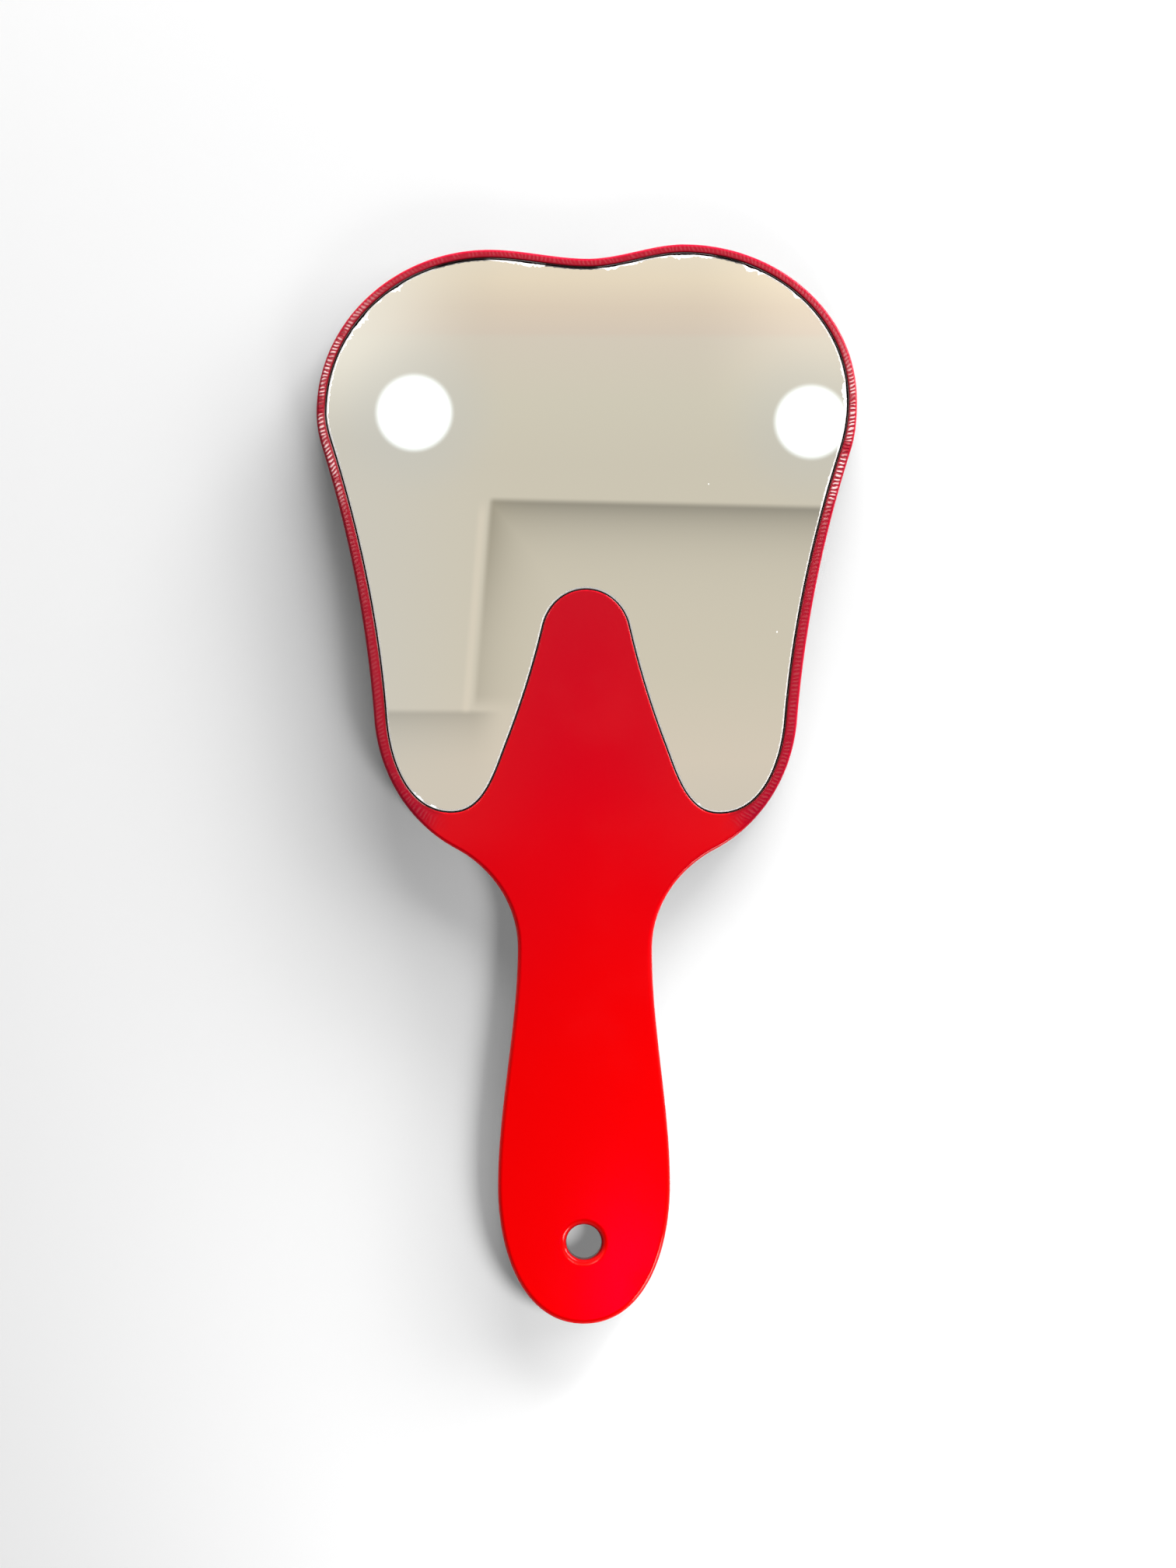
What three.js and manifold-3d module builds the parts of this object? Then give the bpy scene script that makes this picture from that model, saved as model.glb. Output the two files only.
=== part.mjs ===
// A tooth-shaped hand mirror for dental patients, lying on its back.
// Millimetres. +Z comes up out of the mirror's face and +Y runs from the handle to the crown.
// The origin is under the middle of the object, on the surface that it lies on.

import * as THREE from 'three';
import { mergeVertices } from 'three/addons/utils/BufferGeometryUtils.js';
import Module from 'manifold-3d';

// Overall sizes
const overallLength = 250; // end of the handle to the top of the crown
const bodyThickness = 6;

// Crown, the wide end of the head. Each drop is measured down from the crown's top.
const crownWidth = 125.2;
const crownWidestDrop = 36.2;
const crownPeakSpacing = 45; // between the two humps at the top
const crownDip = 3.4; // how far the middle sinks below the right hump
const leftPeakDrop = 1.4; // the left hump is lower than the right one
const leftWidestDrop = 3.2; // and the left side is widest this much further down
const flankInset = 1.4; // the flank below the widest place, in from it on each side
const flankDrop = 47.6;
const flankHeading = 72.5; // degrees from +X

// Roots, where the head narrows to its two rounded lobes
const rootWidth = 98;
const rootDrop = 110.1;
const rootHeading = 85.5;
const shoulderWidth = 60; // the sloping underside, where it turns from hollow to round
const shoulderDrop = 140.1;
const shoulderHeading = 28;

// Handle
const neckWidth = 31.2;
const neckDrop = 163.1;
const handleWidth = 40;
const handleEndLength = 32; // from the widest place to the rounded end
const hangingHoleDiameter = 8.1;
const hangingHoleRise = 19; // its centre, above the end of the handle
const edgeRounding = 1.2; // on the outer edges and round the hole

// Pocket for the mirror: rim widths and the tongue that fills the cleft between the roots
const crownRim = 2.1;
const flankRim = 2.4;
const rootRim = 2.8;
const lobeSpacing = 62; // between the lowest points of the two lobes
const lobeDrop = 131.7;
const tongueHeight = 51.7; // above the lobes' lowest points
const tongueTipWidth = 19.8;
const tongueTipDrop = 8.3; // where the round tip meets the straighter sides
const tongueTipHeading = -77;
const tongueFootWidth = 36.4;
const tongueFootRise = 16.4;
const tongueFootHeading = -69;

// Mirror and what holds it, from the front to the back
const mirrorRecess = 0.3; // the face, below the front of the rim
const mirrorGap = 0.45; // all round, between the pane and the rim
const mirrorThickness = 2;
const mirrorArris = 0.3; // the narrow ground chamfer on both edges
const silverThickness = 0.15;
const paintThickness = 0.15;
const padThickness = 0.8;
const coatingMargin = 0.5; // silver and paint stop short of the pane's edge
const crownPadWidth = 30;
const crownPadLength = 22;
const crownPadMargin = 17.5; // from its outer end to the pocket's wall
const crownPadDrop = 42; // its centre, below the crown's top
const rootPadLength = 28;
const rootPadMargin = 6.5; // from each long side to the lobe's walls
const rootPadRise = 20; // its centre, above the lobes' lowest points
const padCorner = 2.5;

// How finely the round shapes are cut into flats
const curveSteps = 8; // for each stretch of an outline
const holeSteps = 32;
const edgeSteps = 2;

const cutPast = 1; // how far a cutter runs past the face that it leaves by
const weldDistance = 1e-5;

const crownTop = overallLength / 2;
const handleEnd = -overallLength / 2;
const faceHeight = bodyThickness - mirrorRecess;
const silverTop = faceHeight - mirrorThickness;
const paintTop = silverTop - silverThickness;
const padTop = paintTop - paintThickness;
const pocketFloor = padTop - padThickness;

const wasm = await Module();
wasm.setup();

const finishes = {
  redPlastic: { color: 0xe0081c, roughness: 0.22, metalness: 0 },
  clearGlass: { color: 0xdfe4dd, roughness: 0.03, metalness: 0 },
  silver: { color: 0xd9d6cf, roughness: 0.04, metalness: 1 },
  greyPaint: { color: 0x5d6265, roughness: 0.6, metalness: 0 },
  foamTape: { color: 0xeeeae0, roughness: 0.85, metalness: 0 },
};

// An outline is a list of knots [x, y, heading in degrees] up its right-hand side, with the
// solid on the left of the way it runs. Its left-hand side is given as if on the right, and mirrored.
function moveIn([x, y, heading], distance) {
  const angle = THREE.MathUtils.degToRad(heading);
  return [x - distance * Math.sin(angle), y + distance * Math.cos(angle), heading];
}

function closedLoop(rightSide, leftSide) {
  const mirrored = leftSide.map(([x, y, heading]) => [-x, y, -heading]).reverse();
  return [...rightSide, ...mirrored.slice(1)];
}

// Length of a cubic's handle, over its chord, for the roundest curve that leaves the chord
// at one angle and comes back to it at the other (Hobby's formula).
function handleShare(leaving, arriving) {
  const leavingSine = Math.sin(leaving);
  const arrivingSine = Math.sin(arriving);
  const leavingCosine = Math.cos(leaving);
  const arrivingCosine = Math.cos(arriving);
  const lift = (leavingSine - arrivingSine / 16) * (arrivingSine - leavingSine / 16);
  const above = 2 + Math.SQRT2 * lift * (leavingCosine - arrivingCosine);
  const root5 = Math.sqrt(5);
  const below = 1 + ((root5 - 1) * leavingCosine) / 2 + ((3 - root5) * arrivingCosine) / 2;
  return above / (3 * below);
}

function outlinePoints(rightSide, leftSide) {
  const knots = closedLoop(rightSide, leftSide);
  const path = new THREE.Path();
  path.moveTo(knots[0][0], knots[0][1]);
  for (let i = 1; i < knots.length; i += 1) {
    const [x0, y0, heading0] = knots[i - 1];
    const [x1, y1, heading1] = knots[i];
    const chord = Math.hypot(x1 - x0, y1 - y0);
    const chordAngle = Math.atan2(y1 - y0, x1 - x0);
    const angle0 = THREE.MathUtils.degToRad(heading0);
    const angle1 = THREE.MathUtils.degToRad(heading1);
    const reach0 = chord * handleShare(angle0 - chordAngle, chordAngle - angle1);
    const reach1 = chord * handleShare(chordAngle - angle1, angle0 - chordAngle);
    path.bezierCurveTo(
      x0 + reach0 * Math.cos(angle0),
      y0 + reach0 * Math.sin(angle0),
      x1 - reach1 * Math.cos(angle1),
      y1 - reach1 * Math.sin(angle1),
      x1,
      y1,
    );
  }
  return path.getPoints(curveSteps).slice(0, -1);
}

// The same outline drawn a set distance further in, square to it at every point.
function insetPoints(points, distance) {
  return points.map((point, i) => {
    const before = points[(i + points.length - 1) % points.length];
    const after = points[(i + 1) % points.length];
    const along = after.clone().sub(before).normalize();
    return new THREE.Vector2(point.x - distance * along.y, point.y + distance * along.x);
  });
}

function bodyOutline() {
  const sideKnots = (peakDrop, widestDrop) => [
    [0, handleEnd, 0],
    [handleWidth / 2, handleEnd + handleEndLength, 90],
    [neckWidth / 2, crownTop - neckDrop, 90],
    [shoulderWidth / 2, crownTop - shoulderDrop, shoulderHeading],
    ...headKnots(peakDrop, widestDrop),
  ];
  return outlinePoints(sideKnots(0, 0), sideKnots(leftPeakDrop, leftWidestDrop));
}

function headKnots(peakDrop, widestDrop) {
  return [
    [rootWidth / 2, crownTop - rootDrop, rootHeading],
    [crownWidth / 2 - flankInset, crownTop - flankDrop, flankHeading],
    [crownWidth / 2, crownTop - crownWidestDrop - widestDrop, 90],
    [crownPeakSpacing / 2, crownTop - peakDrop, 180],
    [0, crownTop - crownDip, 180],
  ];
}

function pocketOutline() {
  const lobeBottom = crownTop - lobeDrop;
  const tongueTop = lobeBottom + tongueHeight;
  const rims = [rootRim, flankRim, crownRim, crownRim, crownRim];
  const sideKnots = (peakDrop, widestDrop) => [
    [0, tongueTop, 0],
    [tongueTipWidth / 2, tongueTop - tongueTipDrop, tongueTipHeading],
    [tongueFootWidth / 2, lobeBottom + tongueFootRise, tongueFootHeading],
    [lobeSpacing / 2, lobeBottom, 0],
    ...headKnots(peakDrop, widestDrop).map((knot, i) => moveIn(knot, rims[i])),
  ];
  return outlinePoints(sideKnots(0, 0), sideKnots(leftPeakDrop, leftWidestDrop));
}

// A plate between two heights, with its edges cut back by the same chamfer or rounding.
function plate(points, bottom, top, edge = 0, steps = 1) {
  const geometry = new THREE.ExtrudeGeometry(new THREE.Shape(points), {
    depth: top - bottom - 2 * edge,
    bevelEnabled: edge > 0,
    bevelThickness: edge,
    bevelSize: edge,
    bevelOffset: -edge,
    bevelSegments: steps,
  });
  return geometry.translate(0, 0, bottom + edge);
}

// A pad's outline, with its four corners rounded.
function roundedRectangle(width, length, centreX, centreY) {
  const path = new THREE.Path();
  const right = centreX + width / 2 - padCorner;
  const left = centreX - width / 2 + padCorner;
  const upper = centreY + length / 2 - padCorner;
  const lower = centreY - length / 2 + padCorner;
  path.absarc(right, upper, padCorner, 0, Math.PI / 2);
  path.absarc(left, upper, padCorner, Math.PI / 2, Math.PI);
  path.absarc(left, lower, padCorner, Math.PI, 1.5 * Math.PI);
  path.absarc(right, lower, padCorner, 1.5 * Math.PI, 2 * Math.PI);
  return path.getPoints(curveSteps).slice(0, -1);
}

// What the hanging hole takes away: a round bar that flares where it leaves both faces.
function holeCutter() {
  const radius = hangingHoleDiameter / 2;
  const mouth = radius + edgeRounding;
  const profile = [
    [0, -cutPast],
    [mouth, -cutPast],
    [mouth, 0],
    [radius, edgeRounding],
    [radius, bodyThickness - edgeRounding],
    [mouth, bodyThickness],
    [mouth, bodyThickness + cutPast],
    [0, bodyThickness + cutPast],
  ].map(([x, y]) => new THREE.Vector2(x, y));
  const geometry = new THREE.LatheGeometry(profile, holeSteps);
  geometry.rotateX(Math.PI / 2);
  return geometry.translate(0, handleEnd + hangingHoleRise, 0);
}

function toSolid(geometry) {
  geometry.deleteAttribute('normal');
  geometry.deleteAttribute('uv');
  const merged = mergeVertices(geometry, weldDistance);
  const mesh = new wasm.Mesh({
    numProp: 3,
    vertProperties: new Float32Array(merged.attributes.position.array),
    triVerts: new Uint32Array(merged.index.array),
  });
  return new wasm.Manifold(mesh);
}

function toGeometry(solid) {
  const { vertProperties, triVerts } = solid.getMesh();
  const geometry = new THREE.BufferGeometry();
  geometry.setAttribute('position', new THREE.BufferAttribute(vertProperties, 3));
  geometry.setIndex(new THREE.BufferAttribute(triVerts, 1));
  geometry.computeVertexNormals();
  return geometry;
}

function handleFrame() {
  const body = toSolid(plate(bodyOutline(), 0, bodyThickness, edgeRounding, edgeSteps));
  const pocket = toSolid(plate(pocketOutline(), pocketFloor, bodyThickness + cutPast));
  return toGeometry(body.subtract(pocket).subtract(toSolid(holeCutter())));
}

function addPart(group, name, geometry, finish) {
  const mesh = new THREE.Mesh(geometry, new THREE.MeshStandardMaterial(finishes[finish]));
  mesh.name = name;
  group.add(mesh);
}

const mirror = new THREE.Group();
mirror.name = 'tooth_hand_mirror';
addPart(mirror, 'handle_frame', handleFrame(), 'redPlastic');

// The pane and its two coats, from the front to the back
const paneOutline = insetPoints(pocketOutline(), mirrorGap);
const coatOutline = insetPoints(paneOutline, coatingMargin);
const pane = plate(paneOutline, silverTop, faceHeight, mirrorArris);
addPart(mirror, 'mirror_pane', pane, 'clearGlass');
addPart(mirror, 'silver_film', plate(coatOutline, paintTop, silverTop), 'silver');
addPart(mirror, 'backing_paint', plate(coatOutline, padTop, paintTop), 'greyPaint');

// Foam tape pads that hold the pane to the pocket's floor: two behind the crown, and one
// down the middle of each root lobe, between the tongue's foot and the rim
const crownPadX = crownWidth / 2 - crownRim - crownPadMargin - crownPadWidth / 2;
const crownPadY = crownTop - crownPadDrop;
const lobeInner = tongueFootWidth / 2;
const lobeOuter = rootWidth / 2 - rootRim;
const rootPadWidth = lobeOuter - lobeInner - 2 * rootPadMargin;
const rootPadX = (lobeInner + lobeOuter) / 2;
const rootPadY = crownTop - lobeDrop + rootPadRise;
for (const [side, sign] of [['left', -1], ['right', 1]]) {
  const crownPad = roundedRectangle(crownPadWidth, crownPadLength, sign * crownPadX, crownPadY);
  const rootPad = roundedRectangle(rootPadWidth, rootPadLength, sign * rootPadX, rootPadY);
  addPart(mirror, `crown_pad_${side}`, plate(crownPad, pocketFloor, padTop), 'foamTape');
  addPart(mirror, `root_pad_${side}`, plate(rootPad, pocketFloor, padTop), 'foamTape');
}

export default mirror;
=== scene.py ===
import math

import bmesh
import bpy
import numpy as np
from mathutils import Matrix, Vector
from mathutils.geometry import delaunay_2d_cdt


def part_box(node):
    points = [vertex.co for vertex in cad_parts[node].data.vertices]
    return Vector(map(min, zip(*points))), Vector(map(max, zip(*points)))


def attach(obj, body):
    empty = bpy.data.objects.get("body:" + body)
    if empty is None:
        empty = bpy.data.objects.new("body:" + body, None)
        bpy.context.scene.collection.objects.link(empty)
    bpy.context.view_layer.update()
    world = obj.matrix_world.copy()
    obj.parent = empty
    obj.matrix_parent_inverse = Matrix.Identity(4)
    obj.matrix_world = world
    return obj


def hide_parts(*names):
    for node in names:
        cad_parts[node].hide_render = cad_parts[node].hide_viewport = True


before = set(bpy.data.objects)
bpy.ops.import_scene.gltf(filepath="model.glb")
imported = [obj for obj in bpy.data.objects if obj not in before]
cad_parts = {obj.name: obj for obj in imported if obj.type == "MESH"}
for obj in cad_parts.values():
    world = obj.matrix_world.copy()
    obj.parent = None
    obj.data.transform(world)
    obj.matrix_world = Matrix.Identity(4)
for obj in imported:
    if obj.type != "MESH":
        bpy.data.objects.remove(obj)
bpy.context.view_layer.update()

# A tooth-shaped hand mirror on its back. Dictionaries give sizes in millimetres, meshes are in metres.
mm = 0.001
bodyLow, bodyHigh = (np.array(corner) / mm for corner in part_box("handle_frame"))
paneLow, paneHigh = (np.array(corner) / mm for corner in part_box("mirror_pane"))
silverLow, silverHigh = (np.array(corner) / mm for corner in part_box("silver_film"))
paintLow, paintHigh = (np.array(corner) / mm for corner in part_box("backing_paint"))
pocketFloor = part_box("crown_pad_left")[0][2] / mm
crownTop = bodyHigh[1]
handleEnd = bodyLow[1]
bodyTop = bodyHigh[2]
print("frame read: body", np.round(bodyHigh - bodyLow, 2), "mm")

outline = {
    "step": 0.5,  # between points round every edge
    "crownWidestDrop": 36.2,  # drops are measured down from the crown's top
    "crownPeakSpacing": 45,
    "crownDip": 3.4,
    "leftPeakDrop": 1.4,  # the left hump is lower, and that side is widest further down
    "leftWidestDrop": 3.2,
    "flankInset": 1.4,
    "flankDrop": 47.6,
    "flankHeading": 72.5,  # headings are in degrees from +X, as the edge runs up the right side
    "rootWidth": 98,
    "rootDrop": 110.1,
    "rootHeading": 85.5,
    "shoulderWidth": 60,
    "shoulderDrop": 140.1,
    "shoulderHeading": 28,
    "neckWidth": 31.2,
    "neckDrop": 163.1,
    "handleWidth": 40,
    "handleEndLength": 32,
}
pocket = {
    "crownRim": 2.1,
    "flankRim": 2.4,
    "rootRim": 2.8,
    "lobeSpacing": 62,
    "lobeDrop": 131.7,
    "tongueHeight": 51.7,
    "tongueTipWidth": 19.8,
    "tongueTipDrop": 8.3,
    "tongueTipHeading": -77,
    "tongueFootWidth": 36.4,
    "tongueFootRise": 16.4,
    "tongueFootHeading": -69,
}


# Hobby's share: how long a cubic's handle is over its chord, for the roundest curve between
# the angle at which it leaves the chord and the one at which it comes back.
def handleShare(leaving, arriving):
    lift = (np.sin(leaving) - np.sin(arriving) / 16) * (np.sin(arriving) - np.sin(leaving) / 16)
    above = 2 + math.sqrt(2) * lift * (np.cos(leaving) - np.cos(arriving))
    root5 = math.sqrt(5)
    below = 1 + (root5 - 1) / 2 * np.cos(leaving) + (3 - root5) / 2 * np.cos(arriving)
    return above / (3 * below)


# A closed loop through knots (x, y, heading): a cubic between each pair, then points spaced
# evenly by running length. The left side is given as if on the right, mirrored and run back.
def roundLoop(rightSide, leftSide):
    right = np.array(rightSide, float)
    left = np.array(leftSide, float)[::-1][1:] * [-1, 1, -1]
    knots = np.vstack([right, left])
    start, end = knots[:-1], knots[1:]
    chord = np.hypot(*(end - start)[:, :2].T)
    chordAngle = np.arctan2(end[:, 1] - start[:, 1], end[:, 0] - start[:, 0])
    leave, arrive = np.radians(start[:, 2]), np.radians(end[:, 2])
    reachOut = chord * handleShare(leave - chordAngle, chordAngle - arrive)
    reachIn = chord * handleShare(chordAngle - arrive, leave - chordAngle)
    first = start[:, :2] + reachOut[:, None] * np.stack([np.cos(leave), np.sin(leave)], 1)
    second = end[:, :2] - reachIn[:, None] * np.stack([np.cos(arrive), np.sin(arrive)], 1)
    t = np.linspace(0, 1, 120, endpoint=False)[None, :, None]
    dense = (
        (1 - t) ** 3 * start[:, None, :2]
        + 3 * t * (1 - t) ** 2 * first[:, None]
        + 3 * t**2 * (1 - t) * second[:, None]
        + t**3 * end[:, None, :2]
    ).reshape(-1, 2)
    closed = np.vstack([dense, dense[:1]])
    run = np.concatenate([[0], np.cumsum(np.hypot(*np.diff(closed, axis=0).T))])
    count = 2 * round(run[-1] / outline["step"] / 2)
    places = np.arange(count) * run[-1] / count
    return np.stack([np.interp(places, run, closed[:, 0]), np.interp(places, run, closed[:, 1])], 1)


# Unit vectors square to a loop, pointing into what it encloses.
def inwardNormals(points):
    along = np.roll(points, -1, 0) - np.roll(points, 1, 0)
    along /= np.hypot(*along.T)[:, None]
    return np.stack([-along[:, 1], along[:, 0]], 1)


# The same knot moved to the left of its heading, which is into the loop.
def moveIn(knot, distance):
    angle = math.radians(knot[2])
    return (knot[0] - distance * math.sin(angle), knot[1] + distance * math.cos(angle), knot[2])


# The head's knots from the root up to the middle of the crown, for the right side or the left.
def headKnots(onLeft):
    o = outline
    half = bodyHigh[0]
    return [
        (o["rootWidth"] / 2, crownTop - o["rootDrop"], o["rootHeading"]),
        (half - o["flankInset"], crownTop - o["flankDrop"], o["flankHeading"]),
        (half, crownTop - o["crownWidestDrop"] - onLeft * o["leftWidestDrop"], 90),
        (o["crownPeakSpacing"] / 2, crownTop - onLeft * o["leftPeakDrop"], 180),
        (0, crownTop - o["crownDip"], 180),
    ]


# The outer edge: from the handle's end up one side and down the other.
def bodyLoop():
    o = outline
    lower = [
        (0, handleEnd, 0),
        (o["handleWidth"] / 2, handleEnd + o["handleEndLength"], 90),
        (o["neckWidth"] / 2, crownTop - o["neckDrop"], 90),
        (o["shoulderWidth"] / 2, crownTop - o["shoulderDrop"], o["shoulderHeading"]),
    ]
    return roundLoop(lower + headKnots(0), lower + headKnots(1))


# The pocket's edge: round the tongue and the root lobes, then the head's knots moved in by the rim.
def pocketLoop():
    p = pocket
    lobeBottom = crownTop - p["lobeDrop"]
    tongueTop = lobeBottom + p["tongueHeight"]
    rims = [p["rootRim"], p["flankRim"], p["crownRim"], p["crownRim"], p["crownRim"]]
    lower = [
        (0, tongueTop, 0),
        (p["tongueTipWidth"] / 2, tongueTop - p["tongueTipDrop"], p["tongueTipHeading"]),
        (p["tongueFootWidth"] / 2, lobeBottom + p["tongueFootRise"], p["tongueFootHeading"]),
        (p["lobeSpacing"] / 2, lobeBottom, 0),
    ]
    right, left = (
        lower + [moveIn(knot, rim) for knot, rim in zip(headKnots(onLeft), rims)] for onLeft in (0, 1)
    )
    return roundLoop(right, left)


# Whether each point is inside a loop: an even-odd count of the edges to its right.
def inside(points, loop):
    x0, y0 = loop.T
    x1, y1 = np.roll(loop, -1, 0).T
    px, py = points[:, :1], points[:, 1:]
    spans = (y0 > py) != (y1 > py)
    crossing = x0 + (py - y0) * (x1 - x0) / np.where(y1 == y0, 1, y1 - y0)
    return (spans & (px < crossing)).sum(1) % 2 == 1


# A quarter turn of a profile, from one heading to another, as (inset, height) pairs.
def cornerArc(centre, radius, fromDegrees, toDegrees, steps):
    turn = np.radians(np.linspace(fromDegrees, toDegrees, steps + 1))
    return np.stack([centre[0] + radius * np.cos(turn), centre[1] + radius * np.sin(turn)], 1)


# Gathers rings and caps in millimetres, then makes one welded, closed mesh of them.
class Shell:
    def __init__(self):
        self.blocks = []
        self.faces = []
        self.count = 0

    # A profile carried along a loop: each point moves in by the profile's inset, at its height.
    # The profile is one list for the whole loop, or a table with a column for each point.
    def sweep(self, loop, insets, heights):
        wide = (len(insets), len(loop))
        insets, heights = (
            np.broadcast_to(each[:, None] if each.ndim == 1 else each, wide) for each in (insets, heights)
        )
        flat = loop[None] + insets[..., None] * inwardNormals(loop)[None]
        grid = np.concatenate([flat, heights[..., None]], 2)
        ids = self.count + np.arange(grid.shape[0] * grid.shape[1]).reshape(grid.shape[:2])
        self.blocks.append(grid.reshape(-1, 3))
        self.count += ids.size
        here, after = ids, np.roll(ids, -1, 1)
        quads = np.stack([here[:-1], after[:-1], after[1:], here[1:]], 2)
        self.faces.append(quads.reshape(-1, 4))
        return ids

    # Every point so far, in the order of the rings and caps.
    def points(self):
        return np.concatenate(self.blocks)

    # A flat cap between rings, the first of them the outer one, with filler points inside.
    def cap(self, rings, filler=None):
        everything = self.points()
        ids = np.concatenate(rings)
        flat = everything[ids, :2]
        height = everything[ids[0], 2]
        if filler is not None:
            clear = np.concatenate([everything[ring, :2] for ring in rings])
            near = np.hypot(*(filler[:, None] - clear[None]).transpose(2, 0, 1)).min(1)
            filler = filler[near > 0.8]
            for i, ring in enumerate(rings):
                filler = filler[inside(filler, everything[ring, :2]) == (i == 0)]
            self.blocks.append(np.column_stack([filler, np.full(len(filler), height)]))
            ids = np.concatenate([ids, self.count + np.arange(len(filler))])
            self.count += len(filler)
            flat = np.vstack([flat, filler])
        edges = []
        first = 0
        for ring in rings:
            here = first + np.arange(len(ring))
            edges += list(zip(here.tolist(), np.roll(here, -1).tolist()))
            first += len(ring)
        made = delaunay_2d_cdt([Vector(p) for p in flat.tolist()], edges, [], 0, 1e-6, True)
        source = np.array([origin[0] for origin in made[3]])
        triangles = np.array(made[2])
        centres = flat[source[triangles]].mean(1)
        keep = np.ones(len(triangles), bool)
        for i, ring in enumerate(rings):
            keep &= inside(centres, everything[ring, :2]) == (i == 0)
        self.faces.append(ids[source[triangles[keep]]])

    # The finished mesh, its faces turned outwards and shaded smooth.
    def object(self, name):
        mesh = bpy.data.meshes.new(name)
        faces = [face for block in self.faces for face in block.tolist()]
        mesh.from_pydata((self.points() * mm).tolist(), [], faces)
        work = bmesh.new()
        work.from_mesh(mesh)
        bmesh.ops.recalc_face_normals(work, faces=work.faces)
        open_ = sum(not edge.is_manifold for edge in work.edges)
        work.to_mesh(mesh)
        work.free()
        mesh.shade_smooth()
        piece = bpy.data.objects.new(name, mesh)
        bpy.context.scene.collection.objects.link(piece)
        print(name, len(mesh.polygons), "faces,", open_, "open edges")
        return piece


# A number for each point of a mesh, for its material to read.
def addAttribute(piece, name, values):
    layer = piece.data.attributes.new(name, "FLOAT", "POINT")
    layer.data.foreach_set("value", np.asarray(values, np.float32))


# The middles of even squares that fill a box.
def gridPoints(low, high, spacing):
    x = np.arange(low[0] + spacing / 2, high[0], spacing)
    y = np.arange(low[1] + spacing / 2, high[1], spacing)
    return np.stack(np.meshgrid(x, y), 2).reshape(-1, 2)


# How far each point is from each point of a loop.
def distances(points, loop):
    return np.hypot(*(points[:, None] - loop[None]).transpose(2, 0, 1))


frameSize = {
    "handleRounding": 0.95,
    "headRounding": 0.55,
    "headFrom": -32,  # y where the handle's rounding gives way to the head's
    "headTo": -5,
    "mouthRounding": 0.35,  # round the pocket
    "holeRounding": 1.4,
    "landing": 0.15,  # a narrow flat ring that ends each rounding
    "draft": 0.08,  # how far the wall leans in from its middle
    "floorFillet": 0.4,
    "holeRadius": 4.05,
    "holeRise": 19,
    "handleCrown": 0.15,  # how much lower the handle's long edges are than its middle
    "crownFrom": 25,  # above the neck, where that fall-away begins
    "rimWidth": 3.4,  # where the head's edge is wider than this, it stops being rim,
    "rimFade": 2.5,  # over this much more
    "lipWidth": 0.1,
    "lipFade": 0.12,
    "backSkin": 0.1,  # nothing below this height is lip
    "fillerSpacing": 2.5,
    "arcSteps": 7,
}


# The front sinks towards the handle's long edges: the fall is the square of how far out
# a point is, and fades out smoothly above the neck.
def handleFall(points):
    f = frameSize
    neckY = crownTop - outline["neckDrop"]
    share = np.clip((neckY + f["crownFrom"] - points[:, 1]) / f["crownFrom"], 0, 1)
    fade = share**2 * (3 - 2 * share)
    return f["handleCrown"] * fade * (points[:, 0] / (outline["handleWidth"] / 2)) ** 2


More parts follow.
